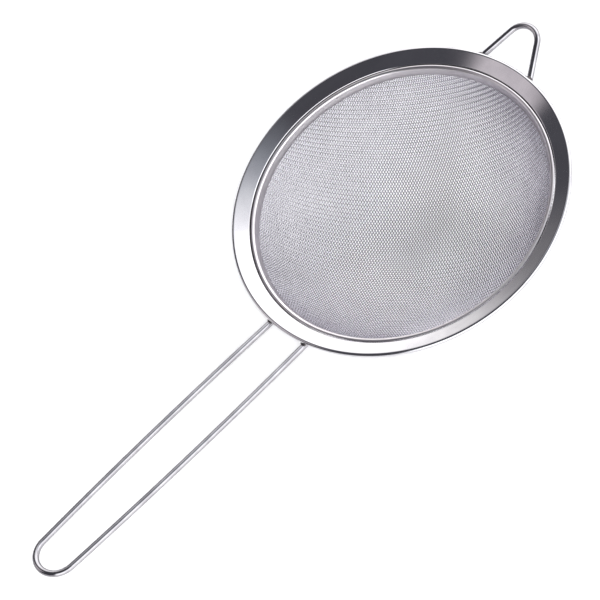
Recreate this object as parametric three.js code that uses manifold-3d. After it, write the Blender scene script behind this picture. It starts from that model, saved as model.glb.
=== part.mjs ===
// Fine-mesh tea strainer: a dished pressed rim with a rolled edge, a drawn bowl of woven wire cloth
// held by a hem ring, a hairpin wire handle and a small wire rest hook, spot welded under the rim.
// Millimetres, +Z up. The origin is the middle of the flat under the bowl, the handle points to -X
// and the rest hook to +X.
import * as THREE from 'three';
import { mergeVertices } from 'three/addons/utils/BufferGeometryUtils.js';
import Module from 'manifold-3d';

const wasm = await Module();
wasm.setup();

// ---- driving dimensions ----
const RIM_RADIUS = 50;             // outside of the rolled edge
const STRIP = 0.45;                // thickness of the pressed strip in the rim and the hem ring
const ROLL_RADIUS = 0.7;           // outside radius of the rolled edge
const FLANGE_WIDTH = 4.75;         // from the rim's edge to the crease beside the bowl
const FLANGE_SLOPE = 24.5;         // degrees that the flange falls towards the bowl
const WALL_SLOPE = 72;             // steepness of the skirt, the hem and the top of the bowl
const SKIRT_LENGTH = 3.1;          // down-turned lip outside the cloth, below the crease
const HEM_DROP = 3.0;              // foot of the hem ring below the crease, along the wall
const HEM_LEG = 2.0;               // straight leg of the hem ring inside the cloth
const CLOTH = 0.66;                // thickness of the woven cloth, two wires
const CLOTH_IN_HEM = 0.7;          // how far the cloth reaches up into the hem
const BOWL_FLATTEN = 0.87;         // height of the bowl's dome over its radius
const REST_RADIUS = 8;             // pressed flat under the bowl
const HANDLE_WIRE = 1.75;          // wire diameter
const HANDLE_LENGTH = 93.2;        // from the rim's edge to the outside of the hairpin
const HANDLE_SLOPE = 12;           // degrees that the handle rises outwards
const HANDLE_ROOT = 13.3;          // wire to wire at the rim
const HANDLE_BELLY = 14.1;         // wire to wire half way along
const HANDLE_TIP = 12.1;           // wire to wire where the hairpin starts to turn
const HOOK_WIRE = 1.75;            // wire diameter
const HOOK_REACH = 13.7;           // from the rim's edge to the outside of the hook
const HOOK_SLOPE = 16;             // degrees that the hook rises outwards
const HOOK_ROOT = 18;              // wire to wire at the rim
const HOOK_BEND = 5.15;            // bend radius of the hook's tip, at the wire's middle
const WELD_LENGTH = 2.6;           // spot weld along its wire
const WELD_WIDTH = 2.9;
const WELD_HEIGHT = 1.9;

// ---- clearances ----
const LAYER_GAP = 0.08;            // between the skirt, the cloth and the hem ring
const WIRE_GAP = 0.12;             // between a wire and the rim above it
const WIRE_END_GAP = 0.35;         // between a wire's cut end and the skirt
const WELD_GAP = 0.1;              // between a weld and what it holds

// ---- facets ----
const TURN_SEGMENTS = 48;
const ROLL_STEPS = 7;
const DOME_STEPS = 9;
const WIRE_SIDES = 6;              // curve steps per half circle of a wire's section
const HANDLE_STEPS = 84;
const HOOK_STEPS = 36;

const DEG = Math.PI / 180;
const vec = (r, z) => new THREE.Vector2(r, z);
const along = (degrees) => vec(Math.cos(degrees * DEG), Math.sin(degrees * DEG));
const step = (point, direction, distance) => point.clone().addScaledVector(direction, distance);

// ---- section of the rim and the hem, as radius and height, with the rim's top at height zero ----
const down = along(180 + WALL_SLOPE);             // along the wall, inwards and down
const outward = vec(-down.y, down.x);             // square to the wall, away from the bowl
const layerStep = STRIP / 2 + LAYER_GAP + CLOTH / 2;
const rollCentre = vec(RIM_RADIUS - ROLL_RADIUS, -ROLL_RADIUS);
const rollLineRadius = ROLL_RADIUS - STRIP / 2;
const rollEnd = 90 + FLANGE_SLOPE;                // the roll runs smoothly into the flange
const flangeStart = step(rollCentre, along(rollEnd), rollLineRadius);
const creaseRadius = RIM_RADIUS - FLANGE_WIDTH;
const creaseHeight = flangeStart.y - (flangeStart.x - creaseRadius) * Math.tan(FLANGE_SLOPE * DEG);
const crease = vec(creaseRadius, creaseHeight);
const hemFoot = step(step(crease, down, HEM_DROP), outward, -2 * layerStep);
const clothHem = step(hemFoot, outward, layerStep);

// The bowl continues the hem's line as a flattened dome.
const domeAngle = Math.atan(Math.tan(WALL_SLOPE * DEG) / BOWL_FLATTEN);
const domeRadius = clothHem.x / Math.sin(domeAngle);
const domeHeight = BOWL_FLATTEN * domeRadius;
const domeCentre = clothHem.y + domeHeight * Math.cos(domeAngle);

function domePoint(angle, offset) {
  const normal = vec(Math.sin(angle) / domeRadius, -Math.cos(angle) / domeHeight).normalize();
  const middle = vec(domeRadius * Math.sin(angle), domeCentre - domeHeight * Math.cos(angle));
  return step(middle, normal, offset);
}

const restAngle = Math.asin(REST_RADIUS / domeRadius);
const restFloor = domePoint(restAngle, CLOTH / 2).y;
const RIM_HEIGHT = -restFloor;                    // top of the rim above the rest flat

// A strip of even thickness along a line of points, as a closed outline.
function stripOutline(line, thickness) {
  const left = [];
  const right = [];
  line.forEach((point, i) => {
    const before = line[Math.max(i - 1, 0)];
    const after = line[Math.min(i + 1, line.length - 1)];
    const heading = after.clone().sub(before).normalize();
    const normal = vec(-heading.y, heading.x);
    left.push(step(point, normal, thickness / 2));
    right.push(step(point, normal, -thickness / 2));
  });
  return [...left, ...right.reverse()];
}

function arcPoints(centre, radius, from, to, steps) {
  const points = [];
  for (let i = 0; i <= steps; i++) {
    points.push(step(centre, along(from + (to - from) * i / steps), radius));
  }
  return points;
}

// Middle line of the pressed strip from the start of the flange to the foot of the skirt.
function flangeLine() {
  const fall = along(180 + FLANGE_SLOPE);
  return [
    flangeStart,
    step(crease, fall, -2 * STRIP),
    step(step(crease, fall, -0.6 * STRIP), down, 0.6 * STRIP),
    step(crease, down, 2 * STRIP),
    step(crease, down, SKIRT_LENGTH),
  ];
}

// The roll starts under the edge and goes round outside and over the top into the flange.
function rimLine() {
  const roll = arcPoints(rollCentre, rollLineRadius, -90, rollEnd, ROLL_STEPS);
  return [...roll, ...flangeLine().slice(1)];
}

// The hem ring runs up the inside of the cloth and over its cut edge.
function hemLine() {
  const legTop = step(hemFoot, down, -HEM_LEG);
  const start = WALL_SLOPE + 90;
  const over = arcPoints(step(legTop, outward, layerStep), layerStep, start, start - 100, 5);
  return [hemFoot, ...over];
}

function clothOutline() {
  const inside = [];
  const outside = [];
  for (let i = 0; i < DOME_STEPS; i++) {
    const angle = restAngle + (domeAngle - restAngle) * i / (DOME_STEPS - 1);
    inside.push(domePoint(angle, -CLOTH / 2));
    outside.push(domePoint(angle, CLOTH / 2));
  }
  inside.push(step(inside[DOME_STEPS - 1], down, -CLOTH_IN_HEM));
  outside.push(step(outside[DOME_STEPS - 1], down, -CLOTH_IN_HEM));
  return [vec(0, restFloor), ...outside, ...inside.reverse(), vec(0, restFloor + CLOTH)];
}

// ---- geometry helpers ----
// LatheGeometry turns about Y; a quarter turn about X brings the axis to Z.
function turned(outline, closed) {
  const ordered = THREE.ShapeUtils.area(outline) > 0 ? outline : outline.slice().reverse();
  const points = closed ? [...ordered, ordered[0].clone()] : ordered;
  const geometry = new THREE.LatheGeometry(points, TURN_SEGMENTS).rotateX(Math.PI / 2);
  return geometry.translate(0, 0, RIM_HEIGHT);
}

function wireAlong(path, diameter, steps) {
  const points = path.getSpacedPoints(steps).map((p) => new THREE.Vector3(p.x, p.y, 0));
  const section = new THREE.Shape();
  section.absarc(0, 0, diameter / 2, 0, 2 * Math.PI);
  const extrudePath = new THREE.CatmullRomCurve3(points);
  return new THREE.ExtrudeGeometry(section, { steps, curveSegments: WIRE_SIDES, extrudePath });
}

function toSolid(geometry) {
  const bare = geometry.clone();
  bare.deleteAttribute('normal');
  bare.deleteAttribute('uv');
  const merged = mergeVertices(bare);
  return new wasm.Manifold(new wasm.Mesh({
    numProp: 3,
    vertProperties: new Float32Array(merged.attributes.position.array),
    triVerts: new Uint32Array(merged.index.array),
  }));
}

function fromSolid(solid) {
  const mesh = solid.getMesh();
  const geometry = new THREE.BufferGeometry();
  geometry.setAttribute('position', new THREE.BufferAttribute(mesh.vertProperties, 3));
  geometry.setIndex(new THREE.BufferAttribute(mesh.triVerts, 1));
  return geometry;
}

// ---- wires and welds are drawn flat, with X away from the rim's roll, and then set in place ----
// A wire passes under the roll and under the crease, whichever sits lower along its slope.
function setUnderRim(geometry, diameter, slope, side) {
  const tilt = slope * DEG;
  const half = diameter / 2 / Math.cos(tilt) + WIRE_GAP;
  const underRoll = -2 * ROLL_RADIUS - half;
  const creaseUnderside = crease.y - STRIP / 2 / Math.cos(FLANGE_SLOPE * DEG);
  const underCrease = creaseUnderside - half + (rollCentre.x - crease.x) * Math.tan(tilt);
  geometry.rotateY(-tilt);
  geometry.translate(rollCentre.x, 0, RIM_HEIGHT + Math.min(underRoll, underCrease));
  return side < 0 ? geometry.rotateZ(Math.PI) : geometry;
}

// How far a wire runs in under the rim before its cut end would meet the skirt.
function rootDepth(spacing, diameter, slope) {
  const reach = creaseRadius + STRIP / 2 + WIRE_END_GAP;
  const inner = Math.sqrt(reach ** 2 - ((spacing - diameter) / 2) ** 2);
  return (rollCentre.x - inner) / Math.cos(slope * DEG);
}

function handleGeometry(diameter) {
  const root = HANDLE_ROOT / 2;
  const tip = HANDLE_TIP / 2;
  const bow = HANDLE_BELLY - (root + tip) / 2;
  const depth = rootDepth(HANDLE_ROOT, HANDLE_WIRE, HANDLE_SLOPE);
  const turn = ROLL_RADIUS + HANDLE_LENGTH - HANDLE_WIRE / 2 - tip;
  const path = new THREE.Path();
  path.moveTo(-depth, root);
  path.quadraticCurveTo(turn / 2, bow, turn, tip);
  path.absarc(turn, 0, tip, Math.PI / 2, -Math.PI / 2, true);
  path.quadraticCurveTo(turn / 2, -bow, -depth, -root);
  return setUnderRim(wireAlong(path, diameter, HANDLE_STEPS), HANDLE_WIRE, HANDLE_SLOPE, -1);
}

function hookGeometry(diameter) {
  const root = HOOK_ROOT / 2;
  const centre = ROLL_RADIUS + HOOK_REACH - HOOK_WIRE / 2 - HOOK_BEND;
  const lean = Math.atan2(root, centre) - Math.asin(HOOK_BEND / Math.hypot(root, centre));
  const depth = rootDepth(HOOK_ROOT, HOOK_WIRE, HOOK_SLOPE);
  const spread = root + depth * Math.tan(lean);
  const touch = Math.PI / 2 - lean;
  const path = new THREE.Path();
  path.moveTo(-depth, spread);
  path.lineTo(centre + HOOK_BEND * Math.cos(touch), HOOK_BEND * Math.sin(touch));
  path.absarc(centre, 0, HOOK_BEND, touch, -touch, true);
  path.lineTo(-depth, -spread);
  return setUnderRim(wireAlong(path, diameter, HOOK_STEPS), HOOK_WIRE, HOOK_SLOPE, 1);
}

// A weld is a flattened bead between the top of its wire and the roll, cut clear of both.
function weldGeometry(spacing, diameter, slope, side, across, holders) {
  const bead = new THREE.SphereGeometry(0.5, 16, 10);
  bead.scale(WELD_LENGTH, WELD_WIDTH, WELD_HEIGHT);
  bead.translate(0, across * spacing / 2, diameter / 2);
  let solid = toSolid(setUnderRim(bead, diameter, slope, side));
  holders.forEach((holder) => {
    solid = solid.subtract(holder);
  });
  return fromSolid(solid);
}

// ---- the assembly ----
const strainer = new THREE.Group();

function addPiece(name, geometry, color, roughness) {
  const material = new THREE.MeshStandardMaterial({ color, roughness, metalness: 1 });
  const mesh = new THREE.Mesh(geometry, material);
  mesh.name = name;
  strainer.add(mesh);
}

addPiece('rim_ring', turned(stripOutline(rimLine(), STRIP), true), 0xb9b8be, 0.16);
addPiece('hem_ring', turned(stripOutline(hemLine(), STRIP), true), 0xa9a3a8, 0.22);
addPiece('mesh_bowl', turned(clothOutline(), false), 0xc4c2cc, 0.35);
addPiece('handle_wire', handleGeometry(HANDLE_WIRE), 0xc9c8cc, 0.12);
addPiece('hook_wire', hookGeometry(HOOK_WIRE), 0xc9c8cc, 0.12);

const grown = 2 * WELD_GAP;
const rollHolder = toSolid(turned(
  arcPoints(rollCentre, ROLL_RADIUS + WELD_GAP, 0, 345, 23), true));
const flangeHolder = toSolid(turned(stripOutline(flangeLine(), STRIP + grown), true));
const wires = [
  {
    name: 'handle', spacing: HANDLE_ROOT, diameter: HANDLE_WIRE, slope: HANDLE_SLOPE, side: -1,
    holder: toSolid(handleGeometry(HANDLE_WIRE + grown)),
  },
  {
    name: 'hook', spacing: HOOK_ROOT, diameter: HOOK_WIRE, slope: HOOK_SLOPE, side: 1,
    holder: toSolid(hookGeometry(HOOK_WIRE + grown)),
  },
];
wires.forEach(({ name, spacing, diameter, slope, side, holder }) => {
  // left and right as seen from outside the rim, looking along the wire towards the bowl
  [['left', -1], ['right', 1]].forEach(([hand, across]) => {
    const holders = [rollHolder, flangeHolder, holder];
    const geometry = weldGeometry(spacing, diameter, slope, side, across, holders);
    addPiece(`${name}_weld_${hand}`, geometry, 0x6e6a6c, 0.45);
  });
});

export default strainer;
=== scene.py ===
import math

import bmesh
import bpy
import numpy as np
from mathutils import Matrix, Quaternion, Vector


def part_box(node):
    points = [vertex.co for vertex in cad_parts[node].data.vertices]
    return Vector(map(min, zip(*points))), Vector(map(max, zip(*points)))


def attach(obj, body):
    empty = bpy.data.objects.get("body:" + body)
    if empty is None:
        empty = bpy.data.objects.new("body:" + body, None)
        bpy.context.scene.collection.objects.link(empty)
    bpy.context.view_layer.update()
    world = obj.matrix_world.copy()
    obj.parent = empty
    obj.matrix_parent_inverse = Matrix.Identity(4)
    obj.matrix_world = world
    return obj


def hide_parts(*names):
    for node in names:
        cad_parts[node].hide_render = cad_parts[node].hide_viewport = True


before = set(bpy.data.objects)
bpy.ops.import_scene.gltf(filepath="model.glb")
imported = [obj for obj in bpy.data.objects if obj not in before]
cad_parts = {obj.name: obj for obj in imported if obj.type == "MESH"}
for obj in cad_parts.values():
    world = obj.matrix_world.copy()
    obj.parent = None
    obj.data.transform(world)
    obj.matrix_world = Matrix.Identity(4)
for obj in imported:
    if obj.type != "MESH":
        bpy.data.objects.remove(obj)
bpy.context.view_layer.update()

# ---- rim ring ----
# The rim is one strip of bright stainless steel, 0.45 mm thick, spun to a dished flange. Its edge
# is curled round outwards and under into a bead, and its inner lip is turned down as a skirt
# outside the cloth. Spinning leaves faint rings on the flange and a slight waviness.
MM = 0.001
STRIP = 0.45 * MM
RIM_RADIUS = 50.0 * MM
RIM_TOP = 33.161 * MM
BEAD_RADIUS = 0.7 * MM
FLANGE_WIDTH = 4.75 * MM
FLANGE_SLOPE = math.radians(24.5)
CREASE_BEND = 0.14 * MM
WALL_SLOPE = math.radians(72)
SKIRT_LENGTH = 3.1 * MM
RIM_STEPS = 288
BEAD_STEPS = 22
CREASE_STEPS = 10
EDGE_ROUND = 0.06 * MM
MERGE_REACH = 0.001 * MM
# Painted shade: the rim's colour is scaled down to this inside the lip, below the crease.
PAINTED_LIP_SHADE = 0.32


def along(angle):
    """Unit direction in a ring's section, x outwards and z up."""
    return Vector((math.cos(angle), 0, math.sin(angle)))


def arc(centre, radius, start, end, steps):
    """Points of an arc in a ring's section."""
    turn = (end - start) / steps
    return [centre + along(start + turn * i) * radius for i in range(steps + 1)]


def bend(before, corner, after, inset, steps):
    """Points of a rounded corner in a ring's section."""
    start = corner + (before - corner).normalized() * inset
    end = corner + (after - corner).normalized() * inset
    points = []
    for i in range(steps + 1):
        t = i / steps
        points.append(start * (1 - t) ** 2 + corner * (2 * t * (1 - t)) + end * t ** 2)
    return points


def finished(name, bm, materials):
    """Makes the piece's object from its bmesh, smooth shaded."""
    mesh = bpy.data.meshes.new(name)
    bm.to_mesh(mesh)
    bm.free()
    for material in materials:
        mesh.materials.append(material)
    mesh.shade_smooth()
    piece = bpy.data.objects.new(name, mesh)
    bpy.context.scene.collection.objects.link(piece)
    return piece


def spun_strip(name, line, thickness, edge_round, material):
    """A ring of strip metal, spun from the middle line of its section."""
    bm = bmesh.new()
    verts = [bm.verts.new(point) for point in line]
    edges = [bm.edges.new(pair) for pair in zip(verts, verts[1:])]
    bmesh.ops.spin(bm, geom=verts + edges, cent=(0, 0, 0), axis=(0, 0, 1),
                   angle=math.tau, steps=RIM_STEPS, use_merge=True)
    bmesh.ops.remove_doubles(bm, verts=bm.verts, dist=MERGE_REACH)
    bmesh.ops.recalc_face_normals(bm, faces=bm.faces)
    piece = finished(name, bm, [material])
    wall = piece.modifiers.new("strip_thickness", "SOLIDIFY")
    wall.thickness = thickness
    wall.offset = 0
    wall.use_even_offset = True
    soften = piece.modifiers.new("cut_edges", "BEVEL")
    soften.width = edge_round
    soften.segments = 2
    soften.limit_method = "ANGLE"
    soften.angle_limit = math.radians(50)
    return piece


def node(tree, kind, settings=None, **values):
    """Adds a shader node, sets its properties and its input sockets."""
    made = tree.nodes.new(kind)
    for key, value in (settings or {}).items():
        setattr(made, key, value)
    for key, value in values.items():
        made.inputs[key.replace("_", " ")].default_value = value
    return made


def noise(tree, where, scale, detail, roughness, dimensions="3D"):
    """Noise at a place, as a number from about 0.3 to 0.7."""
    made = node(tree, "ShaderNodeTexNoise", {"noise_dimensions": dimensions},
                Scale=scale, Detail=detail, Roughness=roughness)
    tree.links.new(where, made.inputs["W" if dimensions == "1D" else "Vector"])
    return made.outputs["Fac"]


def ranged(tree, value, low, high, to_low, to_high):
    """A number brought from one range to another."""
    made = node(tree, "ShaderNodeMapRange")
    for key, number in (("From Min", low), ("From Max", high), ("To Min", to_low), ("To Max", to_high)):
        made.inputs[key].default_value = number
    tree.links.new(value, made.inputs["Value"])
    return made.outputs["Result"]


def ramp(tree, value, stops):
    """Colours along a number."""
    made = node(tree, "ShaderNodeValToRGB")
    while len(made.color_ramp.elements) < len(stops):
        made.color_ramp.elements.new(0.5)
    for element, (position, colour) in zip(made.color_ramp.elements, stops):
        element.position = position
        element.color = (*colour, 1)
    tree.links.new(value, made.inputs["Fac"])
    return made.outputs["Color"]


def bump(tree, height, strength, distance, under=None):
    """Adds relief to a normal. Distance is the real depth, in metres."""
    made = node(tree, "ShaderNodeBump", Strength=strength, Distance=distance)
    tree.links.new(height, made.inputs["Height"])
    if under is not None:
        tree.links.new(under, made.inputs["Normal"])
    return made.outputs["Normal"]


def metal(name):
    """A new metal material with its tree, its shader and its object coordinates."""
    material = bpy.data.materials.new(name)
    material.use_nodes = True
    tree = material.node_tree
    shader = tree.nodes["Principled BSDF"]
    shader.inputs["Metallic"].default_value = 1.0
    place = node(tree, "ShaderNodeTexCoord").outputs["Object"]
    return material, tree, shader, place


def painted_lip_shade(tree, reach, height, colour):
    """Painted shade: darkens the inside of the lip below the crease, standing in for the shade in the
    crevice between rim and hem.
    """
    across = node(tree, "ShaderNodeVectorMath", {"operation": "DOT_PRODUCT"})
    across.inputs[1].default_value = outward
    place = node(tree, "ShaderNodeCombineXYZ")
    tree.links.new(reach, place.inputs["X"])
    tree.links.new(height, place.inputs["Z"])
    tree.links.new(place.outputs["Vector"], across.inputs[0])
    middle = crease.dot(outward)
    inside = ranged(tree, across.outputs["Value"], middle, middle - 0.05 * MM, 0, 1)
    below = ranged(tree, height, crease.z + 0.10 * MM, crease.z + 0.02 * MM, 0, 1)
    both = node(tree, "ShaderNodeMath", {"operation": "MULTIPLY"})
    tree.links.new(inside, both.inputs[0])
    tree.links.new(below, both.inputs[1])
    shade = node(tree, "ShaderNodeVectorMath", {"operation": "SCALE"})
    tree.links.new(colour, shade.inputs[0])
    tree.links.new(ranged(tree, both.outputs["Value"], 0, 1, 1.0, PAINTED_LIP_SHADE), shade.inputs["Scale"])
    return shade.outputs["Vector"]


def spun_steel(name, tint, dull, rough_low, rough_high, ring_depth, wave_depth, lip=False):
    """Bright sheet steel with rings from spinning, waviness and fine wear."""
    material, tree, shader, place = metal(name)
    parts = node(tree, "ShaderNodeSeparateXYZ")
    tree.links.new(place, parts.inputs["Vector"])
    flat = node(tree, "ShaderNodeCombineXYZ")
    tree.links.new(parts.outputs["X"], flat.inputs["X"])
    tree.links.new(parts.outputs["Y"], flat.inputs["Y"])
    reach = node(tree, "ShaderNodeVectorMath", {"operation": "LENGTH"})
    tree.links.new(flat.outputs["Vector"], reach.inputs[0])
    rings = noise(tree, reach.outputs["Value"], 5200, 2, 0.6, "1D")
    cloudy = noise(tree, place, 90, 4, 0.55)
    grain = noise(tree, place, 2600, 2, 0.6)
    waves = noise(tree, place, 55, 1, 0.4)
    colour = ramp(tree, cloudy, [(0.3, dull), (0.7, tint)])
    # Painted shade inside the lip, below the crease, where the crevice between rim and hem lies in
    # shade.
    if lip:
        colour = painted_lip_shade(tree, reach.outputs["Value"], parts.outputs["Z"], colour)
    tree.links.new(colour, shader.inputs["Base Color"])
    tree.links.new(ranged(tree, cloudy, 0.3, 0.7, rough_high, rough_low), shader.inputs["Roughness"])
    relief = bump(tree, waves, 1.0, wave_depth)
    relief = bump(tree, rings, 1.0, ring_depth, relief)
    relief = bump(tree, grain, 1.0, ring_depth * 0.4, relief)
    tree.links.new(relief, shader.inputs["Normal"])
    return material


bead_centre = Vector((RIM_RADIUS - BEAD_RADIUS, 0, RIM_TOP - BEAD_RADIUS))
bead_line = BEAD_RADIUS - STRIP / 2
bead_end = math.pi / 2 + FLANGE_SLOPE
flange_start = bead_centre + along(bead_end) * bead_line
crease_radius = RIM_RADIUS - FLANGE_WIDTH
crease_drop = (flange_start.x - crease_radius) * math.tan(FLANGE_SLOPE)
crease = Vector((crease_radius, 0, flange_start.z - crease_drop))
down = along(math.pi + WALL_SLOPE)
outward = Vector((-down.z, 0, down.x))
skirt_foot = crease + down * SKIRT_LENGTH

rim_line = arc(bead_centre, bead_line, -math.pi / 2, bead_end, BEAD_STEPS)
uphill = (flange_start - crease).normalized()
beside_crease = CREASE_BEND * 1.3
rim_line += [flange_start.lerp(crease, t) for t in (0.02, 0.5)]
rim_line += [crease + uphill * beside_crease]
rim_line += bend(flange_start, crease, skirt_foot, CREASE_BEND, CREASE_STEPS)
rim_line += [crease + down * beside_crease, crease.lerp(skirt_foot, 0.6), skirt_foot]

# The rim's colour carries painted shade inside the lip, below the crease.
rim_steel = spun_steel("spun_rim_steel", (0.62, 0.61, 0.63), (0.52, 0.51, 0.535),
                       0.09, 0.15, 0.0004 * MM, 0.012 * MM, lip=True)
rim = spun_strip("rim", rim_line, STRIP, EDGE_ROUND, rim_steel)
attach(rim, "root")
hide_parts("rim_ring")

# ---- hem ring ----
# A second ring of the same strip stands inside the bowl. Its top is folded outwards over the cut
# edge of the cloth and goes down between the cloth and the skirt, and pressing the two rings
# together nips the cloth all round.
HEM_DROP = 3.0 * MM
HEM_LEG = 2.0 * MM
HEM_FOLD = math.radians(100)
HEM_FOLD_STEPS = 12
CLOTH_THICK = 0.66 * MM
LAYER_GAP = 0.08 * MM
layer_step = STRIP / 2 + LAYER_GAP + CLOTH_THICK / 2

hem_foot = crease + down * HEM_DROP - outward * (2 * layer_step)
leg_top = hem_foot - down * HEM_LEG
fold_start = WALL_SLOPE + math.pi / 2
hem_line = [hem_foot, hem_foot.lerp(leg_top, 0.5), hem_foot.lerp(leg_top, 0.96)]
hem_line += arc(leg_top + outward * layer_step, layer_step, fold_start,
                fold_start - HEM_FOLD, HEM_FOLD_STEPS)

hem_steel = spun_steel("folded_hem_steel", (0.74, 0.71, 0.73), (0.62, 0.59, 0.61),
                       0.27, 0.35, 0.0006 * MM, 0.010 * MM)
hem = spun_strip("hem", hem_line, STRIP, EDGE_ROUND, hem_steel)
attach(hem, "root")
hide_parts("hem_ring")

# ---- bowl of woven wire cloth ----
# Plain woven stainless wire cloth, 0.27 mm wire at a 0.85 mm pitch, is cut skew to its weave and
# drawn over a punch into a flattened dome with a small flat under it. Each wire goes over and
# under its neighbours, and the two families cross at 61 degrees after drawing.
WIRE_RADIUS = 0.135 * MM
PITCH = 0.85 * MM
WARP_ANGLE = math.radians(67.1)
WEFT_ANGLE = math.radians(6.0)
BOWL_FLATTEN = 0.87
REST_RADIUS = 8.0 * MM
REST_SOFTNESS = 0.25 * MM
CLOTH_IN_HEM = 0.7 * MM
PIECES_PER_FAMILY = 3
SECTION_STEPS = 1200
CLOTH_COLOURS = [(0.3, (0.50, 0.485, 0.53)), (0.7, (0.62, 0.605, 0.65))]

cloth_hem = hem_foot + outward * layer_step
dome_angle = math.atan(math.tan(WALL_SLOPE) / BOWL_FLATTEN)
dome_radius = cloth_hem.x / math.sin(dome_angle)
dome_height = BOWL_FLATTEN * dome_radius
dome_centre = cloth_hem.z + dome_height * math.cos(dome_angle)
rest_angle = math.asin(REST_RADIUS / dome_radius)
rest_level = dome_centre - dome_height * math.cos(rest_angle)

turns = np.linspace(0, dome_angle, SECTION_STEPS)
section_r = dome_radius * np.sin(turns)
above_rest = dome_centre - dome_height * np.cos(turns) - rest_level
section_z = CLOTH_THICK / 2 + (above_rest + np.hypot(above_rest, REST_SOFTNESS)) / 2
cloth_top = Vector((section_r[-1], 0, section_z[-1])) - down * CLOTH_IN_HEM
section_r = np.append(section_r, cloth_top.x)
section_z = np.append(section_z, cloth_top.z)
section_s = np.append(0, np.cumsum(np.hypot(np.diff(section_r), np.diff(section_z))))
section_slope = np.arctan2(np.gradient(section_z), np.gradient(section_r))
cloth_reach = section_s[-1]


def drawn(u, v, lift):
    """Places of the flat blank after drawing; lift is into the bowl."""
    s = np.maximum(np.hypot(u, v), 1e-9)
    slope = np.interp(s, section_s, section_slope)
    r = np.interp(s, section_s, section_r) - np.sin(slope) * lift
    z = np.interp(s, section_s, section_z) + np.cos(slope) * lift
    return r * u / s, r * v / s, z


def woven_wires(name, own, other, phase, share):
    """Every third wire of a family, as one curve object."""
    curve = bpy.data.curves.new(name, "CURVE")
    curve.dimensions = "3D"
    curve.bevel_depth = WIRE_RADIUS
    curve.bevel_resolution = 1
    curve.use_fill_caps = True
    spacing = abs(math.sin(own - other)) * PITCH
    count = int(cloth_reach / spacing)
    for k in range(-count, count + 1):
        if k % PIECES_PER_FAMILY != share:
            continue
        start_u = k * PITCH * math.cos(other)
        start_v = k * PITCH * math.sin(other)
        middle = -(start_u * math.cos(own) + start_v * math.sin(own))
        half = math.sqrt(cloth_reach ** 2 - (k * spacing) ** 2)
        first = math.ceil((middle - half) / PITCH * 2)
        last = math.floor((middle + half) / PITCH * 2)
        if last - first < 4:
            continue
        steps = np.arange(first, last + 1)
        t = np.concatenate([[middle - half], steps * PITCH / 2, [middle + half]])
        over = np.cos(math.pi * (steps / 2 + k + phase))
        over = np.concatenate([[over[0]], over, [over[-1]]])
        u = start_u + t * math.cos(own)
        v = start_v + t * math.sin(own)
        x, y, z = drawn(u, v, over * WIRE_RADIUS * 0.97)
        spline = curve.splines.new("POLY")
        spline.points.add(len(t) - 1)
        spline.points.foreach_set("co", np.stack([x, y, z, np.ones_like(x)], 1).ravel())
    return curve


def mesh_from_curve(name, curve, material):
    """Turns a bevelled curve into the piece's closed mesh."""
    holder = bpy.data.objects.new(name + "_curve", curve)
    bpy.context.scene.collection.objects.link(holder)
    depsgraph = bpy.context.evaluated_depsgraph_get()
    mesh = bpy.data.meshes.new_from_object(holder.evaluated_get(depsgraph))
    bpy.data.objects.remove(holder)
    mesh.name = name
    mesh.materials.clear()
    mesh.materials.append(material)
    mesh.shade_smooth()
    piece = bpy.data.objects.new(name, mesh)
    bpy.context.scene.collection.objects.link(piece)
    return piece


def cloth_steel():
    """Fine bright wire, a little dull from drawing, with rubbed patches."""
    material, tree, shader, place = metal("woven_wire_steel")
    patches = noise(tree, place, 60, 3, 0.5)
    fine = noise(tree, place, 1500, 2, 0.6)
    tree.links.new(ramp(tree, patches, CLOTH_COLOURS), shader.inputs["Base Color"])
    tree.links.new(ranged(tree, fine, 0.3, 0.7, 0.14, 0.26), shader.inputs["Roughness"])
    tree.links.new(bump(tree, fine, 0.6, 0.004 * MM), shader.inputs["Normal"])
    return material


mesh_steel = cloth_steel()
families = (("warp", WARP_ANGLE, WEFT_ANGLE, 0), ("weft", WEFT_ANGLE, WARP_ANGLE, 1))
for family, own, other, phase in families:
    for share in range(PIECES_PER_FAMILY):
        name = f"cloth_{family}_{share + 1}"
        cloth = mesh_from_curve(name, woven_wires(name, own, other, phase, share), mesh_steel)
        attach(cloth, "root")
        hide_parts("mesh_bowl")

# ---- handle ----
# One length of bright drawn 1.75 mm wire is bent into a hairpin with slightly bowed legs. Both
# ends go in under the rim up to the skirt, and it rises 12 degrees outwards.
WIRE = 1.75 * MM
WIRE_GAP = 0.12 * MM
WIRE_END_GAP = 0.35 * MM
HANDLE_SLOPE = math.radians(12)
HANDLE_LENGTH = 93.2 * MM
HANDLE_ROOT = 13.3 * MM / 2
HANDLE_BELLY = 14.1 * MM / 2
HANDLE_TIP = 12.1 * MM / 2
CUT_END_ROUND = 0.18 * MM
WIRE_COLOURS = [(0.35, (0.35, 0.34, 0.36)), (0.65, (0.47, 0.46, 0.48))]
WIRE_EDGE_TINT = (0.15, 0.15, 0.16, 1)


def wire_curve(name, knots):
    """A round wire along knots of (place, handle before, handle after)."""
    curve = bpy.data.curves.new(name, "CURVE")
    curve.dimensions = "3D"
    curve.bevel_depth = WIRE / 2
    curve.bevel_resolution = 6
    curve.use_fill_caps = True
    spline = curve.splines.new("BEZIER")
    spline.resolution_u = 28
    spline.bezier_points.add(len(knots) - 1)
    for point, (place, before, after) in zip(spline.bezier_points, knots):
        point.handle_left_type = point.handle_right_type = "FREE"
        point.co = (*place, 0)
        point.handle_left = (*before, 0)
        point.handle_right = (*after, 0)
    return curve


def turned_knots(centre, radius, start, end, steps):
    """Knots of an arc, drawn flat."""
    reach = 4 / 3 * math.tan((end - start) / steps / 4) * radius
    knots = []
    for i in range(steps + 1):
        angle = start + (end - start) * i / steps
        out = Vector((math.cos(angle), math.sin(angle)))
        ahead = Vector((-out.y, out.x)) * reach
        place = Vector((centre, 0)) + out * radius
        knots.append((place, place - ahead, place + ahead))
    return knots


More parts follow.
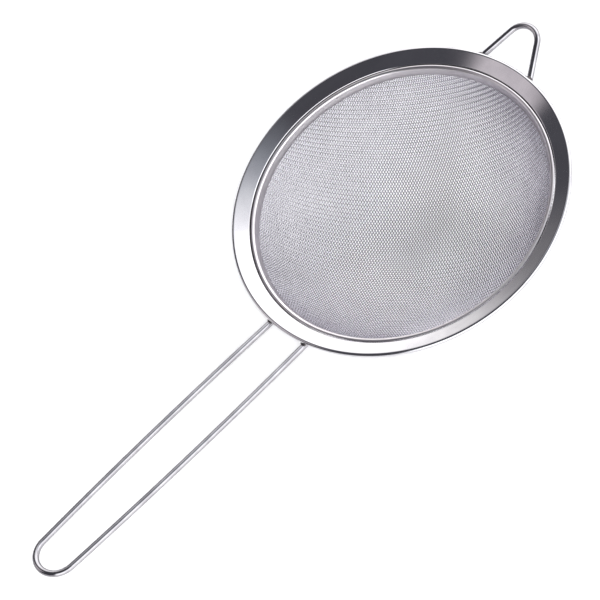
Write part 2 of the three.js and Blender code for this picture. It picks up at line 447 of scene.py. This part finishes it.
def set_under_rim(piece, slope, side):
    """Moves a wire drawn flat, with x away from the rim, to its place under the rim."""
    half = WIRE / 2 / math.cos(slope) + WIRE_GAP
    under_bead = RIM_TOP - 2 * BEAD_RADIUS - half
    crease_underside = crease.z - STRIP / 2 / math.cos(FLANGE_SLOPE)
    under_crease = crease_underside - half + (bead_centre.x - crease.x) * math.tan(slope)
    seat = Vector((bead_centre.x, 0, min(under_bead, under_crease)))
    place = Matrix.Translation(seat) @ Matrix.Rotation(-slope, 4, "Y")
    if side < 0:
        place = Matrix.Rotation(math.pi, 4, "Z") @ place
    piece.data.transform(place)


def root_depth(root, slope):
    """How far in under the rim a wire goes before its cut end would meet the skirt."""
    reach = crease.x + STRIP / 2 + WIRE_END_GAP
    inner = math.sqrt(reach ** 2 - (root - WIRE / 2) ** 2)
    return (bead_centre.x - inner) / math.cos(slope)


def round_cut_ends(piece, width):
    """Takes the sharp edge off a wire's two cut ends."""
    bm = bmesh.new()
    bm.from_mesh(piece.data)
    bmesh.ops.remove_doubles(bm, verts=bm.verts, dist=MERGE_REACH)
    ends = [face for face in bm.faces if len(face.verts) > 4]
    edges = list({edge for face in ends for edge in face.edges})
    bmesh.ops.bevel(bm, geom=edges, offset=width, segments=3, profile=0.5,
                    affect="EDGES", material=-1)
    bmesh.ops.recalc_face_normals(bm, faces=bm.faces)
    bm.to_mesh(piece.data)
    bm.free()
    piece.data.shade_smooth()


def drawn_wire_steel():
    """Bright drawn wire, with die lines along it and a few rubs."""
    material, tree, shader, place = metal("drawn_wire_steel")
    lengthwise = node(tree, "ShaderNodeUVMap", {"uv_map": "UVMap"}).outputs["UV"]
    stretch = node(tree, "ShaderNodeMapping")
    stretch.inputs["Scale"].default_value = (6, 90, 1)
    tree.links.new(lengthwise, stretch.inputs["Vector"])
    lines = noise(tree, stretch.outputs["Vector"], 1, 3, 0.6)
    rubs = noise(tree, place, 160, 3, 0.6)
    shader.inputs["Specular Tint"].default_value = WIRE_EDGE_TINT
    tree.links.new(ramp(tree, rubs, WIRE_COLOURS), shader.inputs["Base Color"])
    tree.links.new(ranged(tree, rubs, 0.3, 0.7, 0.08, 0.18), shader.inputs["Roughness"])
    relief = bump(tree, lines, 1.0, 0.003 * MM)
    tree.links.new(bump(tree, rubs, 1.0, 0.01 * MM, relief), shader.inputs["Normal"])
    return material


def handle_knots():
    """The hairpin's knots, drawn flat, from one root to the other."""
    knots = []
    turn = BEAD_RADIUS + HANDLE_LENGTH - WIRE / 2 - HANDLE_TIP
    bow = Vector((turn / 2, 2 * HANDLE_BELLY - (HANDLE_ROOT + HANDLE_TIP) / 2))
    root = Vector((-root_depth(HANDLE_ROOT, HANDLE_SLOPE), HANDLE_ROOT))
    tip = turned_knots(turn, HANDLE_TIP, math.pi / 2, -math.pi / 2, 4)
    knots.append((root, root, root.lerp(bow, 2 / 3)))
    place, _, after = tip[0]
    knots.append((place, place.lerp(bow, 2 / 3), after))
    knots += tip[1:-1]
    mirrored = Vector((1, -1))
    place, before, _ = tip[-1]
    knots.append((place, before, place.lerp(bow * mirrored, 2 / 3)))
    knots.append((root * mirrored, (root * mirrored).lerp(bow * mirrored, 2 / 3), root * mirrored))
    return knots


wire_steel = drawn_wire_steel()
handle = mesh_from_curve("handle", wire_curve("handle", handle_knots()), wire_steel)
set_under_rim(handle, HANDLE_SLOPE, -1)
round_cut_ends(handle, CUT_END_ROUND)
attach(handle, "root")
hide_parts("handle_wire")

# ---- rest hook ----
# A short piece of the same wire is bent into an open hook opposite the handle, so that the
# strainer rests across a cup. Its ends go in under the rim, and it rises 16 degrees outwards.
HOOK_SLOPE = math.radians(16)
HOOK_REACH = 13.7 * MM
HOOK_ROOT = 18.0 * MM / 2
HOOK_BEND = 5.15 * MM


def hook_knots():
    """The hook's knots, drawn flat, from one root to the other."""
    centre = BEAD_RADIUS + HOOK_REACH - WIRE / 2 - HOOK_BEND
    lean = math.atan2(HOOK_ROOT, centre) - math.asin(HOOK_BEND / math.hypot(HOOK_ROOT, centre))
    depth = root_depth(HOOK_ROOT, HOOK_SLOPE)
    spread = HOOK_ROOT + depth * math.tan(lean)
    touch = math.pi / 2 - lean
    tip = turned_knots(centre, HOOK_BEND, touch, -touch, 4)
    first = Vector((-depth, spread))
    last = Vector((-depth, -spread))
    place, _, after = tip[0]
    knots = [(first, first, first.lerp(place, 1 / 3)), (place, place.lerp(first, 1 / 3), after)]
    knots += tip[1:-1]
    place, before, _ = tip[-1]
    knots.append((place, before, place.lerp(last, 1 / 3)))
    knots.append((last, last.lerp(place, 1 / 3), last))
    return knots


hook = mesh_from_curve("rest_hook", wire_curve("rest_hook", hook_knots()), wire_steel)
set_under_rim(hook, HOOK_SLOPE, 1)
round_cut_ends(hook, CUT_END_ROUND)
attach(hook, "root")
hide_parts("hook_wire")

# ---- spot welds ----
# Each wire end is spot welded to the underside of the curled edge. The weld leaves a low fused
# bead round the wire, coloured near black and smaller than the CAD's plain bead.
WELD_SHARE = 0.8
WELD_LUMPS = 0.05
WELD_COLOURS = [(0.3, (0.05, 0.045, 0.05)), (0.55, (0.11, 0.10, 0.10)), (0.75, (0.28, 0.25, 0.23))]


def weld_steel():
    """Fused steel, near black with dark grey-brown patches."""
    material, tree, shader, place = metal("welded_steel")
    weld_patches = noise(tree, place, 900, 3, 0.6)
    tree.links.new(ramp(tree, weld_patches, WELD_COLOURS), shader.inputs["Base Color"])
    tree.links.new(ranged(tree, weld_patches, 0.3, 0.7, 0.55, 0.32), shader.inputs["Roughness"])
    tree.links.new(bump(tree, weld_patches, 1.0, 0.05 * MM), shader.inputs["Normal"])
    return material


def weld_bead(name, node_name, material):
    """A lumpy flattened bead in the CAD weld's place."""
    low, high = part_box(node_name)
    centre = (low + high) / 2
    bm = bmesh.new()
    bmesh.ops.create_icosphere(bm, subdivisions=4, radius=0.5)
    for vert in bm.verts:
        lumps = math.sin(9 * vert.co.x + 3 * vert.co.z) * math.cos(8 * vert.co.y)
        vert.co *= 1 - WELD_LUMPS * (1 + lumps)
    size = (high - low) * WELD_SHARE
    bmesh.ops.scale(bm, vec=size, verts=bm.verts)
    bmesh.ops.translate(bm, vec=centre, verts=bm.verts)
    bmesh.ops.recalc_face_normals(bm, faces=bm.faces)
    bead = finished(name, bm, [material])
    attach(bead, "root")
    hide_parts(node_name)


near_black_weld_steel = weld_steel()
for wire_name in ("handle", "hook"):
    for hand in ("left", "right"):
        weld_bead(f"{wire_name}_spot_weld_{hand}", f"{wire_name}_weld_{hand}", near_black_weld_steel)

# ---- floor ----
# A plain pale sweep of matt paper under the strainer.
FLOOR_HALF = 1.5


def floor_paper():
    """Matt white paper with a faint fibre."""
    material = bpy.data.materials.new("pale_paper")
    material.use_nodes = True
    tree = material.node_tree
    shader = tree.nodes["Principled BSDF"]
    place = node(tree, "ShaderNodeTexCoord").outputs["Object"]
    fibres = noise(tree, place, 300, 4, 0.6)
    tree.links.new(ramp(tree, fibres, [(0.3, (0.93, 0.93, 0.93)), (0.7, (0.95, 0.95, 0.95))]),
                   shader.inputs["Base Color"])
    shader.inputs["Roughness"].default_value = 0.9
    shader.inputs["Specular IOR Level"].default_value = 0.1
    return material


bm = bmesh.new()
bmesh.ops.create_grid(bm, x_segments=8, y_segments=8, size=FLOOR_HALF)
floor = finished("floor", bm, [floor_paper()])

# ---- studio light ----
# Soft boxes with feathered edges stand round the table: a tall one in front, a wide low one to the
# right, a faint one overhead and a small card behind. The room between them is dark, as bright
# steel needs.
ROOM_GLOW = (0.095, 0.095, 0.11)
WALL_TINT = (1.0, 0.97, 0.95)
WALL_GLOW = 0.50
WALL_FADES_FROM = 0.02
WALL_FADES_TO = 0.36
# Each box: bearing, half width, lower and upper height and feather in degrees, glow and tint.
SOFT_BOXES = (
    (-88, 56, 8, 44, 13, 2.3, (0.98, 0.99, 1.0)),
    (22, 22, 4, 40, 34, 1.95, (1.0, 0.99, 0.98)),
    (0, 40, 36, 62, 20, 0.38, (0.84, 0.91, 1.0)),
    (129, 15, 18, 52, 6, 0.80, (1.0, 0.93, 0.95)),
)


def feathered(tree, value, outside, inside):
    """A soft edge, from 0 outside to 1 inside."""
    edge = ranged(tree, value, outside, inside, 0, 1)
    edge.node.interpolation_type = "SMOOTHSTEP"
    return edge


def product(tree, first, second):
    """Two numbers multiplied."""
    made = node(tree, "ShaderNodeMath", {"operation": "MULTIPLY"})
    tree.links.new(first, made.inputs[0])
    if isinstance(second, float):
        made.inputs[1].default_value = second
    else:
        tree.links.new(second, made.inputs[1])
    return made.outputs["Value"]


def soft_box(tree, level, height, bearing, half, low, high, feather, radiance, tint):
    """A soft box's glow. Bearing is from +X towards +Y; angles are in degrees."""
    facing = node(tree, "ShaderNodeVectorMath", {"operation": "DOT_PRODUCT"})
    turned = math.radians(bearing)
    facing.inputs[1].default_value = (math.cos(turned), math.sin(turned), 0)
    tree.links.new(level, facing.inputs[0])
    sideways = feathered(tree, facing.outputs["Value"], math.cos(math.radians(half + feather)),
                         math.cos(math.radians(half)))
    above = feathered(tree, height, math.sin(math.radians(low - feather)), math.sin(math.radians(low)))
    below = feathered(tree, height, math.sin(math.radians(high + feather)), math.sin(math.radians(high)))
    amount = product(tree, product(tree, product(tree, sideways, above), below), radiance)
    glow = node(tree, "ShaderNodeVectorMath", {"operation": "SCALE"})
    glow.inputs[0].default_value = tint
    tree.links.new(amount, glow.inputs["Scale"])
    return glow.outputs["Vector"]


def studio():
    """The room's light, as a world."""
    world = bpy.data.worlds.new("studio")
    world.use_nodes = True
    tree = world.node_tree
    toward = node(tree, "ShaderNodeTexCoord").outputs["Generated"]
    parts = node(tree, "ShaderNodeSeparateXYZ")
    tree.links.new(toward, parts.inputs["Vector"])
    height = parts.outputs["Z"]
    flat = node(tree, "ShaderNodeVectorMath", {"operation": "MULTIPLY"})
    flat.inputs[1].default_value = (1, 1, 0)
    tree.links.new(toward, flat.inputs[0])
    level = node(tree, "ShaderNodeVectorMath", {"operation": "NORMALIZE"})
    tree.links.new(flat.outputs["Vector"], level.inputs[0])
    walls = node(tree, "ShaderNodeVectorMath", {"operation": "SCALE"})
    walls.inputs[0].default_value = WALL_TINT
    wall_glow = ranged(tree, height, WALL_FADES_TO, WALL_FADES_FROM, 0.0, WALL_GLOW)
    tree.links.new(wall_glow, walls.inputs["Scale"])
    room = node(tree, "ShaderNodeVectorMath", {"operation": "ADD"})
    room.inputs[0].default_value = ROOM_GLOW
    tree.links.new(walls.outputs["Vector"], room.inputs[1])
    light = room.outputs["Vector"]
    for box in SOFT_BOXES:
        joined = node(tree, "ShaderNodeVectorMath", {"operation": "ADD"})
        tree.links.new(light, joined.inputs[0])
        tree.links.new(soft_box(tree, level.outputs["Vector"], height, *box), joined.inputs[1])
        light = joined.outputs["Vector"]
    tree.links.new(light, tree.nodes["Background"].inputs["Color"])
    return world


bpy.context.scene.world = studio()
bpy.context.scene.view_settings.view_transform = "Standard"

# ---- camera ----
# The camera looks down into the bowl from the handle's side, 55 degrees above the table, rolled so
# that the handle runs to the lower left.
CAMERA_PLACE = Vector((-112.17, -266.26, 426.47)) * MM
CAMERA_AIM = Vector((-40.08, 2.35, 33.16)) * MM
CAMERA_ROLL = math.radians(-38.23)
CAMERA_LENS = 104.3
CAMERA_SENSOR = 36
CAMERA_NEAR = 10 * MM

camera_data = bpy.data.cameras.new("camera")
camera_data.sensor_width = CAMERA_SENSOR
camera_data.lens = CAMERA_LENS
camera_data.clip_start = CAMERA_NEAR
camera = bpy.data.objects.new("camera", camera_data)
camera.location = CAMERA_PLACE
camera.rotation_mode = "QUATERNION"
aim = (CAMERA_AIM - CAMERA_PLACE).to_track_quat("-Z", "Y")
camera.rotation_quaternion = aim @ Quaternion((0, 0, 1), CAMERA_ROLL)
bpy.context.scene.collection.objects.link(camera)
bpy.context.scene.camera = camera

# ---- lamp over the camera ----
# A lamp beside the lens whitens the paper, so that shadows fall behind the strainer. Bright steel
# would only show it as a pinprick, so it is kept out of reflections.
LAMP_POWER = 6.5
LAMP_SIZE = 20 * MM

lamp_data = bpy.data.lights.new("paper_lamp", "POINT")
lamp_data.energy = LAMP_POWER
lamp_data.shadow_soft_size = LAMP_SIZE
lamp = bpy.data.objects.new("paper_lamp", lamp_data)
lamp.location = CAMERA_PLACE
lamp.visible_glossy = False
bpy.context.scene.collection.objects.link(lamp)
